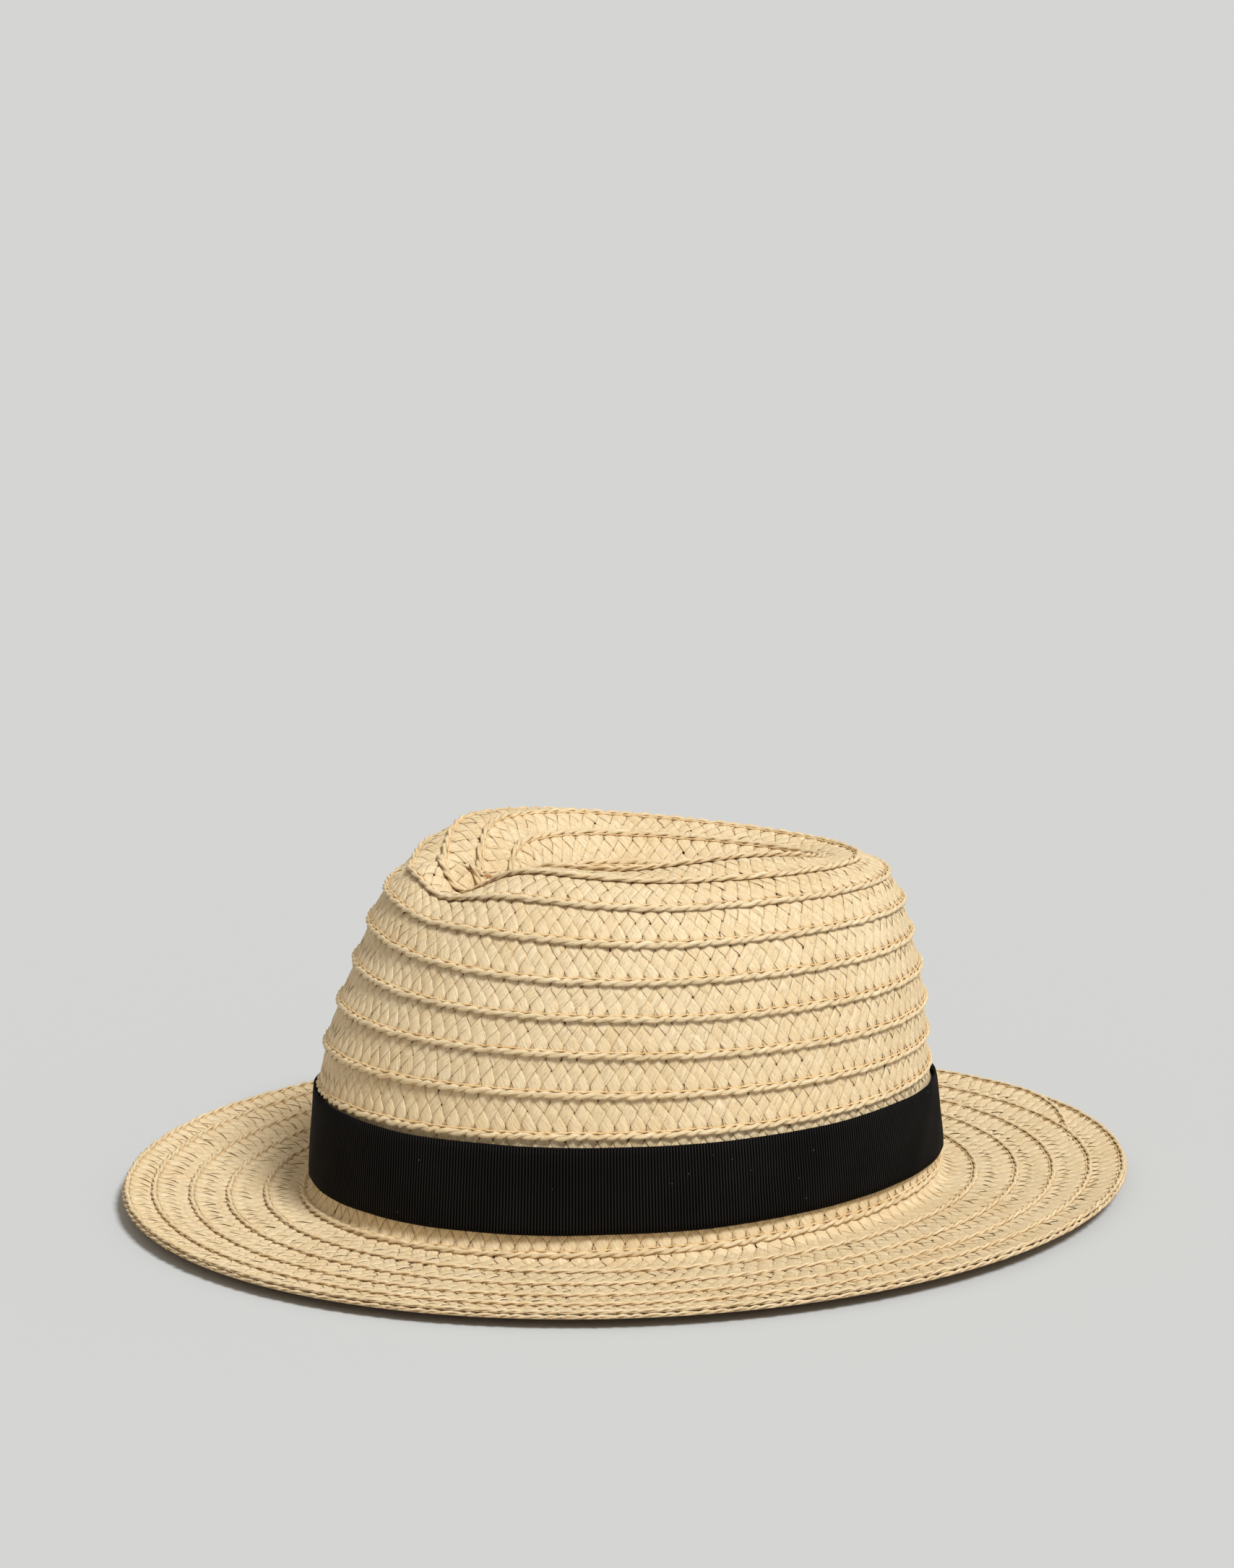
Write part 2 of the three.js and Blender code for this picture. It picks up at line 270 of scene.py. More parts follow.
class Nodes:
    """A short way to write a node tree."""

    def __init__(self, name):
        self.material = bpy.data.materials.new(name)
        self.material.use_nodes = True
        self.tree = self.material.node_tree
        self.shader = self.tree.nodes["Principled BSDF"]

    def node(self, kind, inputs=None, **settings):
        made = self.tree.nodes.new(kind)
        for key, value in settings.items():
            setattr(made, key, value)
        for key, value in (inputs or {}).items():
            self.feed(made.inputs[key], value)
        return made

    def feed(self, socket, value):
        if isinstance(value, bpy.types.NodeSocket):
            self.tree.links.new(value, socket)
        else:
            socket.default_value = value

    def attribute(self, name, output):
        return self.node("ShaderNodeAttribute", attribute_name=name).outputs[output]

    def strand(self):
        """Across, along and a chance value, as the meshes carry them at each point."""
        strand = self.attribute("strand", "Vector")
        return tuple(self.node("ShaderNodeSeparateXYZ", {"Vector": strand}).outputs)

    def place(self):
        return self.node("ShaderNodeTexCoord").outputs["Object"]

    def math(self, operation, *values):
        made = self.node("ShaderNodeMath", operation=operation)
        for socket, value in zip(made.inputs, values):
            self.feed(socket, value)
        return made.outputs[0]

    def noise(self, vector, scale=1.0, detail=2.0, rough=0.5):
        inputs = {"Vector": vector, "Scale": scale, "Detail": detail, "Roughness": rough}
        return self.node("ShaderNodeTexNoise", inputs).outputs[0]

    def vector(self, x, y, z):
        return self.node("ShaderNodeCombineXYZ", {"X": x, "Y": y, "Z": z}).outputs[0]

    def ramp(self, value, low, high, to_low=0.0, to_high=1.0):
        inputs = {"Value": value, "From Min": low, "From Max": high}
        inputs.update({"To Min": to_low, "To Max": to_high})
        return self.node("ShaderNodeMapRange", inputs).outputs[0]

    def mix(self, factor, a, b, blend="MIX"):
        made = self.node("ShaderNodeMix", data_type="RGBA", blend_type=blend)
        self.feed(made.inputs["Factor"], factor)
        self.feed(made.inputs["A"], a)
        self.feed(made.inputs["B"], b)
        return made.outputs["Result"]

    def grey(self, value):
        inputs = {"Red": value, "Green": value, "Blue": value}
        return self.node("ShaderNodeCombineColor", inputs).outputs[0]

    def set(self, **values):
        for key, value in values.items():
            self.feed(self.shader.inputs[key.replace("_", " ")], value)

    def bump(self, height, strength, distance):
        inputs = {"Height": height, "Strength": strength, "Distance": distance}
        self.set(Normal=self.node("ShaderNodeBump", inputs).outputs[0])


def straw_material():
    """Split straw: fibres run along each strand, and each strand has its own tone."""
    n = Nodes("straw_strands")
    across, along, seed = n.strand()
    # Low "depth" marks where strands go under, their lower faces, the rope plies' undersides and
    # the lining: the colour is darkened there as painted shade.
    depth = n.attribute("depth", "Fac")
    broad = n.noise(n.vector(n.math("MULTIPLY", across, 1.5), n.math("MULTIPLY", along, 0.16),
                             n.math("MULTIPLY", seed, 57.0)), detail=3.0, rough=0.6)
    fine = n.noise(n.vector(n.math("MULTIPLY", across, 5.5), n.math("MULTIPLY", along, 0.33),
                            n.math("MULTIPLY", seed, 91.0)), detail=3.0, rough=0.65)
    patch = n.noise(n.place(), scale=38.0, detail=3.0)
    tone = n.math("FRACT", n.math("MULTIPLY", seed, 7.31))
    pale = n.mix(n.ramp(broad, 0.32, 0.68), STRAW_COLOURS["dark"], STRAW_COLOURS["pale"])
    warm = n.mix(n.ramp(tone, 0.0, 1.0, to_high=0.5), pale, STRAW_COLOURS["warm"])
    patched = n.mix(n.ramp(patch, 0.35, 0.7, to_high=0.4), warm, STRAW_COLOURS["patch"])
    # Fibre streaks along each strand, darkened into thin lines as painted shade in the slits
    # between fibres.
    fibre_streaks_and_slit_shade = n.grey(n.ramp(fine, 0.28, 0.44, to_low=0.38))
    streaked = n.mix(1.0, patched, fibre_streaks_and_slit_shade, blend="MULTIPLY")
    # Painted shade: the "sunk" colour is multiplied in, then mixed in where "depth" is low.
    under = n.mix(1.0, streaked, STRAW_COLOURS["sunk"], blend="MULTIPLY")
    n.set(Base_Color=n.mix(n.ramp(depth, -0.9, 0.5), under, streaked))
    n.set(Roughness=n.ramp(fine, 0.3, 0.7, 0.62, 0.45), Specular_IOR_Level=0.35)
    n.bump(n.math("ADD", n.math("MULTIPLY", broad, 0.8), fine), 0.8, 0.0004)
    return n.material


def thread_material():
    """Tan sewing thread, a little uneven in tone."""
    n = Nodes("sewing_thread")
    place = n.place()
    twist = n.noise(place, scale=2600.0, detail=1.0)
    tone = n.ramp(n.noise(place, scale=90.0), 0.3, 0.7)
    n.set(Base_Color=n.mix(tone, THREAD_COLOURS["dark"], THREAD_COLOURS["pale"]), Roughness=0.6)
    n.bump(twist, 0.5, 0.0001)
    return n.material


def ribbon_material():
    """Black grosgrain: the ribs are in the mesh, and the fine warp over them is a bump."""
    n = Nodes("grosgrain")
    across_warp = n.strand()[1]
    warp = n.math("SINE", n.math("MULTIPLY", across_warp, TAU / GROSGRAIN_WARP))
    place = n.place()
    cloud = n.noise(place, scale=55.0, detail=3.0)
    lint = n.node("ShaderNodeTexVoronoi", {"Vector": place, "Scale": LINT_SCALE},
                  feature="F1").outputs
    speck = n.ramp(lint["Distance"], 0.05, 0.11, 1.0, 0.0)
    chance = n.node("ShaderNodeSeparateColor", {"Color": lint["Color"]}).outputs[0]
    rare = n.math("GREATER_THAN", chance, LINT_SHARE)
    # Painted shade: "depth" here is the rib's height, and the grooves between ribs get a near-black
    # colour.
    rib = n.ramp(n.attribute("depth", "Fac"), 0.1, 1.0)
    faded = n.mix(n.ramp(cloud, 0.35, 0.7), RIBBON_COLOURS["dark"], RIBBON_COLOURS["faded"])
    base = n.mix(rib, RIBBON_COLOURS["painted_groove_shade"], faded)
    n.set(Base_Color=n.mix(n.math("MULTIPLY", speck, rare), base, RIBBON_COLOURS["lint"]))
    n.set(Roughness=0.62, Specular_IOR_Level=n.ramp(rib, 0.2, 0.9, 0.02, 0.2))
    n.bump(n.math("ADD", warp, n.noise(place, scale=1800.0)), 0.35, 0.00008)
    return n.material


def cloth_material(name, colours, thread):
    """Plain woven cloth: two sets of threads crossing, as colour and as a bump."""
    n = Nodes(name)
    across, along, _ = n.strand()
    warp = n.math("SINE", n.math("MULTIPLY", across, TAU / thread))
    weft = n.math("SINE", n.math("MULTIPLY", along, TAU / thread))
    weave = n.math("MULTIPLY", warp, weft)
    cloud = n.noise(n.place(), scale=60.0, detail=3.0)
    blend = n.ramp(n.math("ADD", n.math("MULTIPLY", weave, 0.25), cloud), 0.2, 0.85)
    n.set(Base_Color=n.mix(blend, colours["dark"], colours["pale"]), Roughness=0.8)
    n.set(Sheen_Weight=0.1)
    n.bump(weave, 0.5, 0.00012)
    return n.material


STRAW_MATERIAL = straw_material()
THREAD_MATERIAL = thread_material()
RIBBON_MATERIAL = ribbon_material()
SWEATBAND_MATERIAL = cloth_material("sweatband_cloth", SWEATBAND_COLOURS, 0.7)
LABEL_MATERIAL = cloth_material("label_satin", LABEL_COLOURS, 0.35)

# ---- The braid ----------------------------------------------------------------------------------
# Across the braid, v runs from its outer edge towards the tip. Along it, x is the distance sewn.
CELL = 4.9                      # from one strand to the next
ROW = 3.85                      # from one row of crossings to the next
FIRST_ROW = 4.0                 # the outer row's distance from the braid's edge
BRAID_START = 1.3               # strands end inside the edges' ropes
BRAID_END = 14.7
BRAID_MIDDLE = 6.0              # where x is measured
RING_STEP = 0.46                # along a strand, in half rows
SEED = 100                      # plus each piece's own number
STRAND = 0.36                   # thickness of a strand
STRAND_WIDTH = 1.06             # share of the way to the next strand
# One strand's section: places across it from -1 to 1, and lifts in strand thicknesses.
SECTION = np.array([[-1, -0.1], [-0.84, 0.34], [-0.3, 0.5], [0.34, 0.5], [0.86, 0.34], [1, -0.1],
                    [0.5, -0.5], [-0.5, -0.5]])
STRAND_TIP = {"width": 0.6, "outer": 0.5, "inner": 0.9}  # narrower over these lengths at its ends
WEAVE = 0.30                    # how far a strand goes over and under
MID_START = -0.1                # the braid's middle layer at its outer edge
LAP_SLOPE = 0.085               # how fast it drops inward, under the round above
INNERMOST = 0.05                # nearest that straw comes to the tip's middle
# Strands part a little in mid braid, more so on the brim, and draw together at the inner edge.
PARTING = {"crown": 0.07, "brim": 0.15, "from": 200, "over": 14}
PARTED_ROWS = {"from": 6.0, "over": 2.2}
TIGHT_ROWS = {"from": 10.6, "over": 1.6, "by": 0.12}
# How much strands differ from one another.
CHANCE = {
    "bend": (-1, 1), "bend_rate": (0.5, 0.9), "bend_phase": (0, TAU), "parting": (0.0, 1.7),
    "width": (0.93, 1.07), "shift": (-0.08, 0.08), "twist": (-0.09, 0.09),
    "weave": (0.85, 1.15), "thickness": (0.85, 1.1), "lean": (-0.05, 0.05), "seed": (0, 1),
}
SPACING_CHANCE = 0.16           # how unevenly strands follow one another
# The brim's straw is pressed flatter, and where it would go below the floor it gives way.
BRIM_PRESSED = {"from": 186, "over": 14, "lap": 0.035, "rope": 0.30}
FLOOR_PRESS = 1.0
FLOOR_YIELD = 0.8
UNDERLAY_DROP = 1.4             # how far the doubled edge's lower row lies under the upper one


def braid_middle(v):
    """Lift of the braid's middle layer above the hat's surface."""
    return MID_START - LAP_SLOPE * v


class Path:
    """Where one length of braid lies: the station of its outer edge at each angle."""

    def __init__(self, angles, edges, drop):
        self.angles = angles
        self.edges = edges
        self.drop = drop
        middle = surface(np.maximum(edges - BRAID_MIDDLE, INNERMOST), angles)
        self.x = np.concatenate([[0], np.cumsum(np.linalg.norm(np.diff(middle, axis=0), axis=1))])

    def edge_at(self, x):
        return np.interp(x, self.x, self.edges)

    def place(self, x, v, lift):
        """Points of the braid, pressed up where they would go below the floor."""
        angle = np.interp(x, self.x, self.angles)
        edge = self.edge_at(x)
        drop = np.interp(x, self.x, self.drop)
        flatter = BRIM_PRESSED["lap"] * v * set_in(edge, BRIM_PRESSED)
        points = shell(np.maximum(edge - v, INNERMOST), angle, lift - drop + flatter)
        low = np.minimum(points[..., 2] - FLOOR_PRESS, 0)
        sunk = FLOOR_YIELD * (1 - np.exp(low / FLOOR_YIELD))
        points[..., 2] = np.maximum(points[..., 2], FLOOR_PRESS) - sunk
        return points

    def parting(self, x):
        """How far neighbouring strands part where they go under."""
        return PARTING["crown"] + PARTING["brim"] * set_in(self.edge_at(x), PARTING)

    def edge_size(self, x):
        """Share of its full size that the rope-like edge has left."""
        return 1 - BRIM_PRESSED["rope"] * set_in(self.edge_at(x), BRIM_PRESSED)


def sway(x):
    """Slow changes in how far the plait leans along the braid."""
    return 0.10 * np.sin(x / 23.0) + 0.08 * np.sin(x / 9.1 + 1.7) + 0.06 * np.sin(x / 61.0)


def strands(path, centres, rising, row, rng):
    """Flat strands that cross the braid at a slant, over and under. "rising" strands go with x."""
    count = len(centres)
    way = 1.0 if rising else -1.0
    first = (BRAID_START - row) / (ROW / 2)
    last = (BRAID_END - row) / (ROW / 2)
    rings = int((last - first) / RING_STEP) + 1
    g = np.linspace(first, last, rings)[None, :, None]
    b = SECTION[None, None, :, 0]
    height = SECTION[None, None, :, 1]

    def chance(key):
        return rng.uniform(*CHANCE[key], (count, 1, 1))

    bend = chance("bend") * np.sin(g * chance("bend_rate") + chance("bend_phase"))
    squeeze = 0.95 + 0.05 * np.cos(np.pi * g / 2)
    tips = np.minimum(smooth((g - first) / STRAND_TIP["outer"]),
                      smooth((last - g) / STRAND_TIP["inner"]))
    inward = row + g * ROW / 2
    tight = set_in(inward, TIGHT_ROWS)
    parted = path.parting(centres)[:, None, None] * chance("parting")
    parted = parted * set_in(inward, PARTED_ROWS) * (1 - tight) - TIGHT_ROWS["by"] * tight
    tapered = STRAND_TIP["width"] + (1 - STRAND_TIP["width"]) * tips
    width = STRAND_WIDTH * squeeze * chance("width") * tapered - parted
    across = b * width + chance("shift") + 0.08 * bend
    over = np.cos(np.pi * g / 2)
    twist = chance("twist")
    lift = WEAVE * over * chance("weave") + STRAND * height * chance("thickness") + twist * b
    lean = chance("lean") * g
    v = row + (g + across) * ROW / 2
    x = centres[:, None, None] + way * (g - across + lean) * CELL / 4
    x = x + sway(x) * (v - BRAID_MIDDLE)
    half_row = math.hypot(CELL, 2 * ROW) / 4
    seed = chance("seed") * np.ones_like(x)
    return {
        "points": path.place(x, v, braid_middle(v) + lift),
        "strand": np.stack([across * half_row * 0.9, g * half_row + 0 * across, seed], axis=-1),
        # Painted shade: "depth" is lower where a strand goes under its neighbours and on its lower
        # face.
        "depth": over + 0 * across + height * 0.5,
        "flip": rising,
    }


# The lining's section, as places across the braid and lifts from its middle layer.
LINING = np.array([[0.9, -0.08], [2.8, -0.10], [4.0, -0.36], [4.0, -0.52], [2.5, -0.50],
                   [0.9, -0.46]])
LINING_STEP = 2.4
# The lining's low "depth" paints it part way into shade, as it lies under the strands.
LINING_LOOK = {"seed": 0.37, "depth": -0.15}


def lining(path, start, end):
    """The strands' lower layer near the edge, where they lie doubled."""
    count = max(int((end - start) / LINING_STEP), 2)
    x = np.linspace(start, end, count)[None, :, None]
    v = LINING[None, None, :, 0]
    ones = np.ones_like(x + v)
    return {
        "points": path.place(x * ones, v * ones, braid_middle(v) + LINING[None, None, :, 1]),
        "strand": np.stack([x * ones, v * ones, LINING_LOOK["seed"] * ones], axis=-1),
        "depth": LINING_LOOK["depth"] * ones,
        "flip": True,
    }


# A rope's two plies: how far each winds from its middle and how thick it is, as shares of the
# rope's size, and how much flatter than round it is.
PLIES = np.array([0.0, 0.5])
PLY = {"reach": 0.44, "radius": 0.57, "wide": 1.12, "high": 0.92, "swell": 0.17, "tone": 0.21}


def rope(path, start, end, v, lift, size, step, sides, lobe=CELL):
    """Two plies twisted together, as a braid's edge looks where its strands turn back."""
    count = max(int((end - start) / step), 2)
    x = np.linspace(start, end, count)[None, :, None]
    turn = np.arange(sides)[None, None, :] * TAU / sides
    ply = PLIES[:, None, None]
    uneven = 0.07 * np.sin(x * 0.53 + 0.4) + 0.06 * np.sin(x * 0.171 + 1.1)
    phase = -TAU * (x / (2 * lobe) + ply + uneven)
    wobble = np.sin(x * 0.37 + 1.3) + np.sin(x * 0.91 + 2.1) + np.sin(x * 0.057)
    size = size * path.edge_size(x)
    lift = braid_middle(v) + (lift - braid_middle(v)) * path.edge_size(x)
    helix = size * PLY["reach"]
    swell = 1 + PLY["swell"] * np.cos(phase)
    swell = swell + 0.08 * np.sin(x * 1.7 + 4 * ply) + 0.05 * np.sin(x * 0.23)
    radius = size * PLY["radius"] * swell
    centre_v = v + helix * np.sin(phase) + 0.08 * wobble
    centre_lift = lift + helix * np.cos(phase)
    ones = np.ones_like(centre_v + turn)
    points = path.place(x * ones, centre_v + PLY["wide"] * radius * np.cos(turn),
                        centre_lift + PLY["high"] * radius * np.sin(turn))
    strand = [turn * size * 0.7 * ones, (x + 0.9 * turn) * ones, (PLY["tone"] + ply) * ones]
    return {
        "points": points,
        "strand": np.stack(strand, axis=-1),
        # Painted shade: "depth" is lower on each ply's underside and where it passes under the
        # other ply.
        "depth": (0.2 + 0.9 * np.cos(phase) * np.sin(turn) + 0.6 * np.sin(turn)) * ones,
    }


ROPE = {"v": 1.0, "lift": 0.14, "size": 1.1, "step": 0.75, "sides": 7}
INNER_ROPE = {"v": 15.5, "lift": -1.38, "size": 0.62, "step": 1.3, "sides": 5}


def braid(path, start, end, rng):
    """All strands and both edges of the braid between two distances along it."""
    index = np.arange(math.ceil(start / CELL), math.ceil(end / CELL))
    uneven = rng.uniform(-SPACING_CHANCE, SPACING_CHANCE, (2, len(index)))
    leaning_back = strands(path, index * CELL + uneven[0], False, FIRST_ROW + ROW, rng)
    leaning_on = strands(path, (index + 0.5) * CELL + uneven[1], True, FIRST_ROW, rng)
    outer_edge = rope(path, start, end, **ROPE)
    inner_edge = rope(path, start, end, **INNER_ROPE)
    return [leaning_back, leaning_on, lining(path, start, end), outer_edge, inner_edge]


def spiral_edge(turns):
    """Station of the spiral's outer edge, counted in turns from where the first round starts."""
    edge = FIRST_EDGE + PITCH * (turns - (SEAM_ANGLE - LINE_ANGLE) / 360)
    away = turn_from(BRIM_SHIFT["angle"], SEAM_ANGLE - 360 * turns)
    return edge + BRIM_SHIFT["by"] * bell(away, BRIM_SHIFT["width"]) * set_in(edge, BRIM_SHIFT)


SPIRAL_START = -0.74            # turns; where the braid is folded, in the tip's middle
SPIRAL_END = 19.215             # where its end is tucked under the round above
TAPER = {"from": 19.12, "over": 0.085, "by": 14.5, "drop": 0.9}
WEDGE_END = {"at": TAPER["from"] + TAPER["over"] / 2, "over": 0.06}  # where it leaves the ring
TURN_STEP = 1 / 720
EDGE_LAP = {"ring": 0.3, "spiral": 0.5}  # how far each outline stands in from the frame's


def spiral_path():
    """The braid from the tip to the brim's edge, where its end narrows and dives under."""
    turns = np.arange(SPIRAL_START, SPIRAL_END, TURN_STEP)
    taper = set_in(turns, TAPER)
    edges = np.minimum(spiral_edge(turns), BRIM_EDGE - EDGE_LAP["spiral"]) - TAPER["by"] * taper
    return turns, Path(SEAM_ANGLE - 360 * turns, edges, TAPER["drop"] * taper ** 3)


def ring_path(edge, drop):
    """A closed round at the brim's edge, pressed down where the spiral's last part lies on it."""
    turns = np.arange(0, 1 + TURN_STEP, TURN_STEP)
    above = spiral_edge(turns + ROUNDS - 2)
    wedge = spiral_edge(turns + ROUNDS - 1)
    on_top = smooth((WEDGE_END["at"] - (turns + ROUNDS - 1)) / WEDGE_END["over"])
    covered = np.maximum(above, above + (np.minimum(wedge, edge) - above) * on_top)
    pressed = LAP_SLOPE * np.maximum(PITCH - (edge - covered), 0)
    return Path(SEAM_ANGLE - 360 * turns, np.full(len(turns), edge), drop + pressed)


def round_names():
    """The frame's name for each round, in sewing order."""
    nodes = [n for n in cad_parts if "_round_" in n]
    return sorted(nodes, key=lambda n: int(n.rsplit("_", 1)[1]))


def build_braid():
    """One piece for each of the frame's rounds, all but the last two cut from one spiral."""
    turns, spiral = spiral_path()
    names = ["tip_centre", *round_names()[:-1]]
    limits = [turns[0], *range(ROUNDS - 1), turns[-1]]
    parts = [(name, spiral, *np.interp(limits[number:number + 2], turns, spiral.x))
             for number, name in enumerate(names)]
    ring = ring_path(BRIM_EDGE - EDGE_LAP["ring"], 0.0)
    under = ring_path(BRIM_EDGE, UNDERLAY_DROP)
    parts.append((round_names()[-1], ring, 0, ring.x[-1]))
    parts.append(("brim_edge_underlay", under, 0, under.x[-1]))
    for number, (name, path, start, end) in enumerate(parts):
        strips = braid(path, start, end, np.random.default_rng(SEED + number))
        piece = make_mesh(f"{name}_braid", strips, STRAW_MATERIAL, ("strand", "depth"))
        add_to_frame(piece, "straw_braid", name)
    return spiral, ring


SEAM_THREAD = {"v": 2.2, "lift": 0.16, "size": 0.36, "step": 0.82, "sides": 4,
               "lobe": CELL * 0.45}


def build_stitches(spiral, ring):
    """The chain of stitches that holds each round to the next, just inside the rope-like edge."""
    crown_end = float(np.interp(RIBBON_BOTTOM, spiral.edges, spiral.x))
    chains = {"crown_seam_stitches": [(spiral, 0, crown_end)],
              "brim_seam_stitches": [(spiral, crown_end, spiral.x[-1]), (ring, 0, ring.x[-1])]}
    for name, lengths in chains.items():
        cords = [rope(*length, **SEAM_THREAD) for length in lengths]
        add_to_frame(make_mesh(name, cords, THREAD_MATERIAL, ("strand",)), "straw_braid")


# ---- Ribbon, sweatband and label ----------------------------------------------------------------
def sheet_points(s, angle, outer, inner):
    """A closed strip. s and angle are grids (around, down); outer and inner are lifts."""
    top = shell(s, angle, outer)
    under = shell(s, angle, inner)
    return np.concatenate([top, under[:, ::-1]], axis=1)[None]


def sheet_strand(s, along):
    """Where the strip's threads run, on both of its faces."""
    face = np.stack([along, s, 0 * s], axis=-1)
    return np.concatenate([face, face[:, ::-1]], axis=1)[None]


def ring_length(angle, s):
    """Distance from the first angle to each of the others, round the hat at one station."""
    ring = surface(np.full(len(angle), s), angle)
    return np.concatenate([[0], np.cumsum(np.linalg.norm(np.diff(ring, axis=0), axis=1))])


RIBBON = {"lift": 1.2, "thickness": 0.6, "join_angle": 118, "lap": 10, "lap_lift": 0.75}
RIBBON_RAISED = {"by": 1.6, "angle": 40, "width": 48}  # it sits higher at the rear left
RIB = {"width": 0.98, "relief": 0.36, "steps": 5}
RIBBON_ROWS = 13                # of points across the ribbon
SELVEDGE = {"power": 14, "scallop": 0.16, "thinner": 0.3}
# A ribbon's small waves: where it runs off its line, ripples, and stands off at its two edges.
RIBBON_WANDER = {"broad": 0.125, "short": 0.08}
RIBBON_RIPPLE = 0.16
RIBBON_EDGE_WAVE = 0.21


def build_ribbon():
    """Grosgrain with raised ribs across its width and a scalloped selvedge, lapped at the back."""
    end = RIBBON["join_angle"] - 360 - RIBBON["lap"]
    coarse = np.linspace(RIBBON["join_angle"], end, 1500)
    reach = ring_length(coarse, RIBBON_TOP + RIBBON_WIDTH / 2)
    ribs = round(reach[-1] / RIB["width"])
    along = np.linspace(0, reach[-1], ribs * RIB["steps"] + 1)
    angle = np.interp(along, reach, coarse)[:, None]
    a = np.radians(angle)
    phase = along[:, None] / (reach[-1] / ribs)
    rib = 0.5 + 0.5 * np.cos(TAU * phase)
    down = np.linspace(-1, 1, RIBBON_ROWS)[None, :]
    edge = np.abs(down) ** SELVEDGE["power"]
    scallop = SELVEDGE["scallop"] * edge * np.sign(down) * (rib - 0.5)
    wander = RIBBON_WANDER["broad"] * np.sin(a * 5 + 0.6)
    wander = wander + RIBBON_WANDER["short"] * np.sin(a * 13 + 2)
    away = turn_from(RIBBON_RAISED["angle"], angle)
    raised = RIBBON_RAISED["by"] * bell(away, RIBBON_RAISED["width"])
    s = RIBBON_TOP + RIBBON_WIDTH / 2 + down * RIBBON_WIDTH / 2 + scallop + wander - raised
    lapped = smooth((end + 2 * RIBBON["lap"] - angle) / RIBBON["lap"]) * RIBBON["lap_lift"]
    ripple = RIBBON_RIPPLE * np.sin(a * 23 + 3 * down) * np.sin(a * 7 + down)
    stand_off = RIBBON_EDGE_WAVE * down ** 2 * np.sin(a * 9 + 1.5 * down)
    lift = RIBBON["lift"] + lapped + ripple + stand_off
    thinner = 1 - SELVEDGE["thinner"] * edge
    outer = lift + RIBBON["thickness"] * thinner + RIB["relief"] * (rib - 0.5) * thinner
    group = {
        "points": sheet_points(s, angle + 0 * s, outer, lift + 0 * s),
        "strand": sheet_strand(s, along[:, None] + 0 * s),
        # The rib's height, from which the ribbon's grooves are painted into shade.
        "depth": np.concatenate([rib + 0 * s, (rib + 0 * s)[:, ::-1]], axis=1)[None],
        "flip": True,
    }
    piece = make_mesh("grosgrain_ribbon", [group], RIBBON_MATERIAL, ("strand", "depth"))
    add_to_frame(piece, "grosgrain", "ribbon_band")


# "face" is the lift of the band's outer face, and "hem" how strongly its edges are turned in.
SWEATBAND = {"start": 90, "end": -269.6, "top": 146.0, "bottom": 178.0, "thickness": 0.9,
             "face": -STRAW - 0.3, "hem": 1.0, "columns": 900}
LABEL = {"start": 98, "end": 82, "top": 153.0, "bottom": 169.0, "thickness": 0.35,
         "face": SWEATBAND["face"] - SWEATBAND["thickness"] - 0.4, "hem": 0.3, "columns": 60}
CLOTH_ROWS = 17
HEM = {"at": 0.86, "width": 0.05, "height": 0.10, "stitch": 0.05, "stitch_length": 3.0}
CLOTH_WAVE = {"height": 0.10, "inset": 0.12}


def build_cloth(name, band, material, slot, node):
    """A band of cloth inside the crown, with a stitched, padded hem along both edges."""
    top, bottom = band["top"], band["bottom"]
    coarse = np.linspace(band["start"], band["end"], band["columns"])
    along = ring_length(coarse, (top + bottom) / 2)
    angle = coarse[:, None]
    down = np.linspace(-1, 1, CLOTH_ROWS)[None, :]
    s = (top + bottom) / 2 + down * (bottom - top) / 2
    stitch = np.cos(TAU * along[:, None] / HEM["stitch_length"])
    ridge = bell(np.abs(down) - HEM["at"], HEM["width"])
    hem = ridge * (HEM["height"] + HEM["stitch"] * stitch) * band["hem"]
    wave = CLOTH_WAVE["height"] * np.sin(np.radians(angle) * 17 + 2 * down) * band["hem"]
    face = band["face"] - 0 * s - wave - CLOTH_WAVE["inset"] * band["hem"]
    inside = face - band["thickness"] + hem
    group = {
        "points": sheet_points(s + 0 * angle, angle + 0 * s, face, inside),
        "strand": sheet_strand(s + 0 * angle, along[:, None] + 0 * s),
        "flip": True,
    }
    piece = make_mesh(name, [group], material, ("strand",))
    add_to_frame(piece, slot, node)


def build_inside():
    """The sweatband, and a blank label on it at the back."""
    build_cloth("sweatband_cloth_band", SWEATBAND, SWEATBAND_MATERIAL, "sweatband_cloth",
                "sweatband")
    build_cloth("blank_label", LABEL, LABEL_MATERIAL, "label_satin", "care_label")


# ---- Studio -------------------------------------------------------------------------------------
FLOOR_REACH = 40.0              # metres from the hat to each side of the floor
CAMERA = {"azimuth": 72.0, "elevation": 16.93, "distance": 1.452}  # from the hat's foot, in metres
CAMERA_TURN = {"up": 5.0102, "right": -0.1023, "roll": 0.5}  # away from looking straight at it
CAMERA_LENS = {"focal": 100.3, "sensor": 36.0}
FOOT = Vector((0, 0, 0.005))    # of the hat
KEY = {"azimuth": 112, "elevation": 53, "strength": 3.0, "spread": 18, "colour": (1, 1, 0.985)}
WORLD = {"colour": (1, 0.90, 0.76, 1), "strength": 0.43}


def direction(azimuth, elevation):
    """From the hat into the studio. Azimuth 0 is in front, and 90 is at the wearer's left."""
    a, e = math.radians(azimuth), math.radians(elevation)
    return Vector((math.sin(a) * math.cos(e), -math.cos(a) * math.cos(e), math.sin(e)))


def turned(axis, towards, angle):
    """The axis, turned by an angle towards another one at right angles to it."""
    return axis * math.cos(angle) + towards * math.sin(angle)


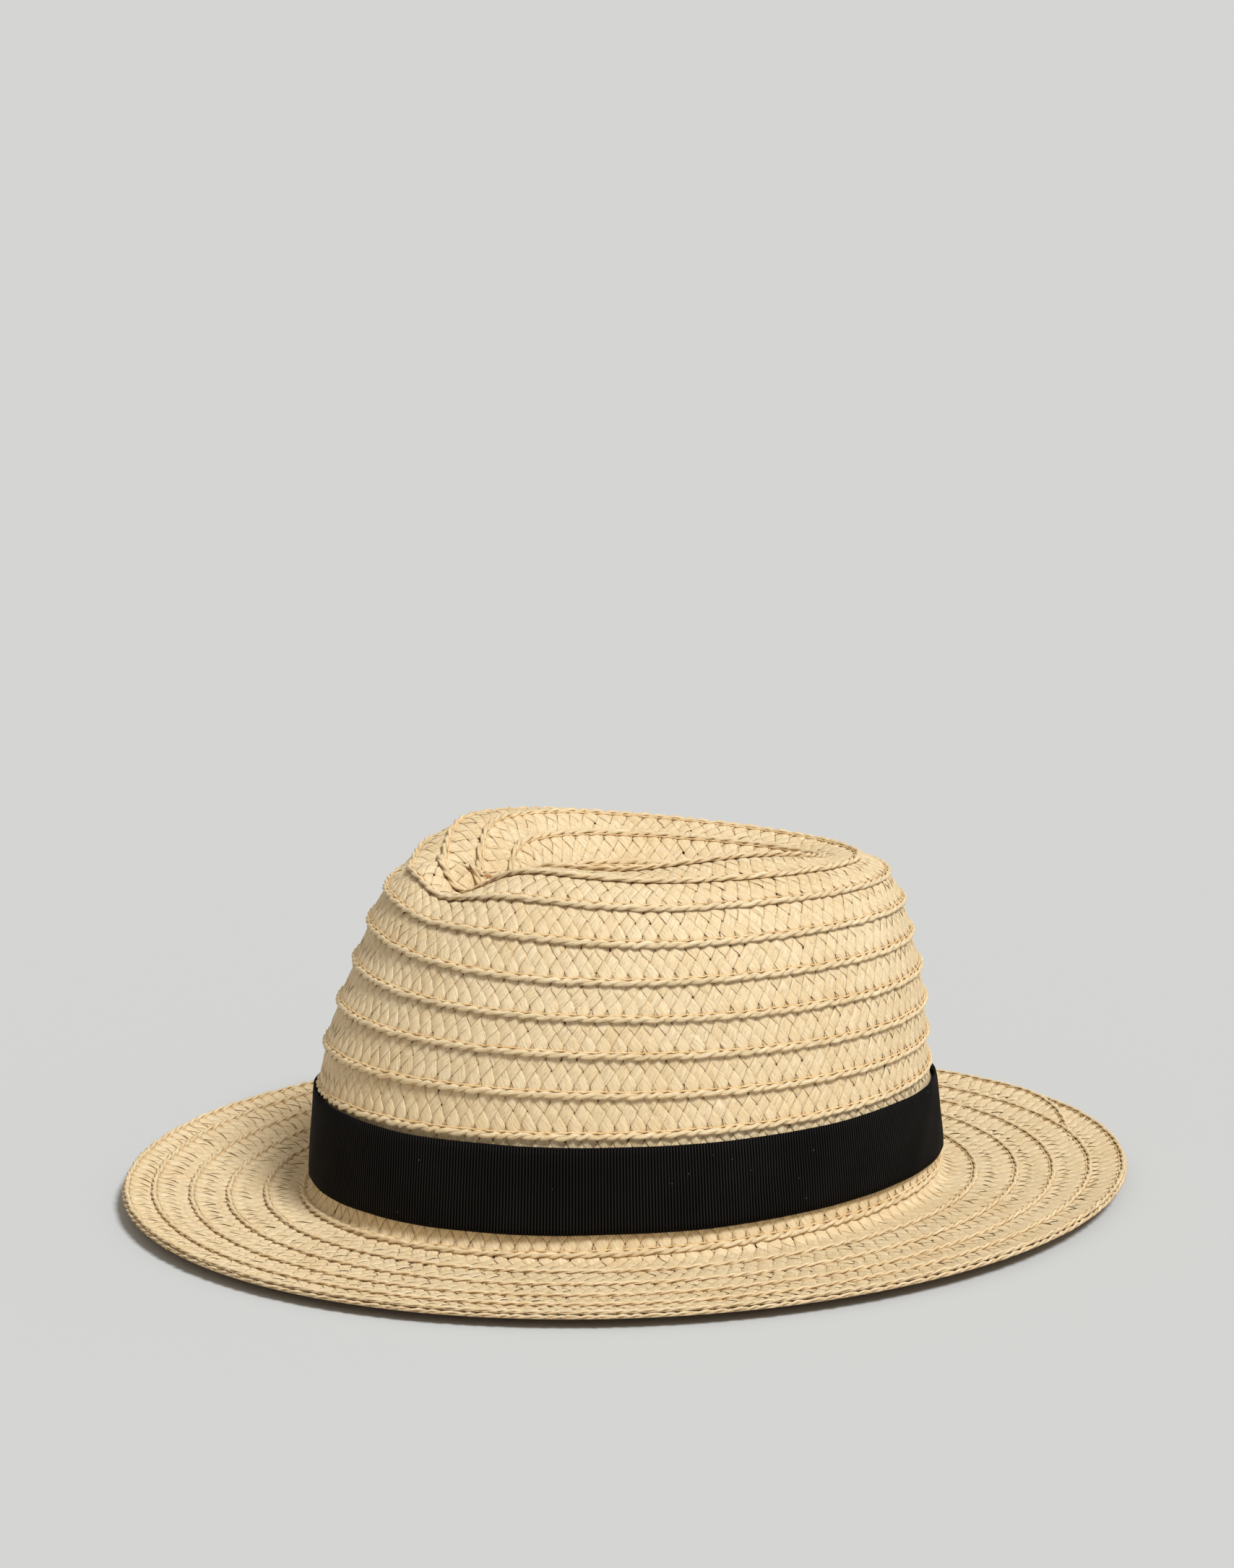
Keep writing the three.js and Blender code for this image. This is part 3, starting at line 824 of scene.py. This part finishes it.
def build_floor():
    """A plain, matt floor that fills the picture."""
    n = Nodes("studio_floor")
    n.set(Base_Color=FLOOR_COLOUR, Roughness=1.0, Specular_IOR_Level=0.0)
    mesh = bpy.data.meshes.new("floor")
    corners = [(-1, -1), (1, -1), (1, 1), (-1, 1)]
    points = [(FLOOR_REACH * x, FLOOR_REACH * y, 0) for x, y in corners]
    mesh.from_pydata(points, [], [(0, 1, 2, 3)])
    mesh.materials.append(n.material)
    floor = add_object("floor", mesh)


def build_camera():
    """The camera looks level enough to leave the hat in the lower part of a tall picture."""
    back = direction(CAMERA["azimuth"], CAMERA["elevation"])
    right = direction(CAMERA["azimuth"] + 90, 0)
    up = right.cross(-back)
    forward = turned(-back, up, math.radians(CAMERA_TURN["up"]))
    up = right.cross(forward)
    forward = turned(forward, right, math.radians(CAMERA_TURN["right"]))
    right = forward.cross(up)
    roll = math.radians(CAMERA_TURN["roll"])
    right, up = turned(right, -up, roll), turned(up, right, roll)
    data = bpy.data.cameras.new("camera")
    data.sensor_width = CAMERA_LENS["sensor"]
    data.lens = CAMERA_LENS["focal"]
    camera = add_object("camera", data)
    axes = Matrix((right, up, -forward)).transposed().to_4x4()
    camera.matrix_world = Matrix.Translation(FOOT + back * CAMERA["distance"]) @ axes
    bpy.context.scene.camera = camera


def build_light():
    """One broad, soft lamp from the wearer's left, and a warm, even light from all round."""
    world = bpy.data.worlds.new("studio")
    world.use_nodes = True
    background = world.node_tree.nodes["Background"].inputs
    background["Color"].default_value = WORLD["colour"]
    background["Strength"].default_value = WORLD["strength"]
    bpy.context.scene.world = world
    light = bpy.data.lights.new("key", "SUN")
    light.energy = KEY["strength"]
    light.angle = math.radians(KEY["spread"])
    light.color = KEY["colour"]
    towards = direction(KEY["azimuth"], KEY["elevation"])
    add_object("key", light).rotation_euler = towards.to_track_quat("Z", "Y").to_euler()
    bpy.context.scene.view_settings.view_transform = "Standard"


build_camera()
build_light()
build_floor()
build_stitches(*build_braid())
build_ribbon()
build_inside()
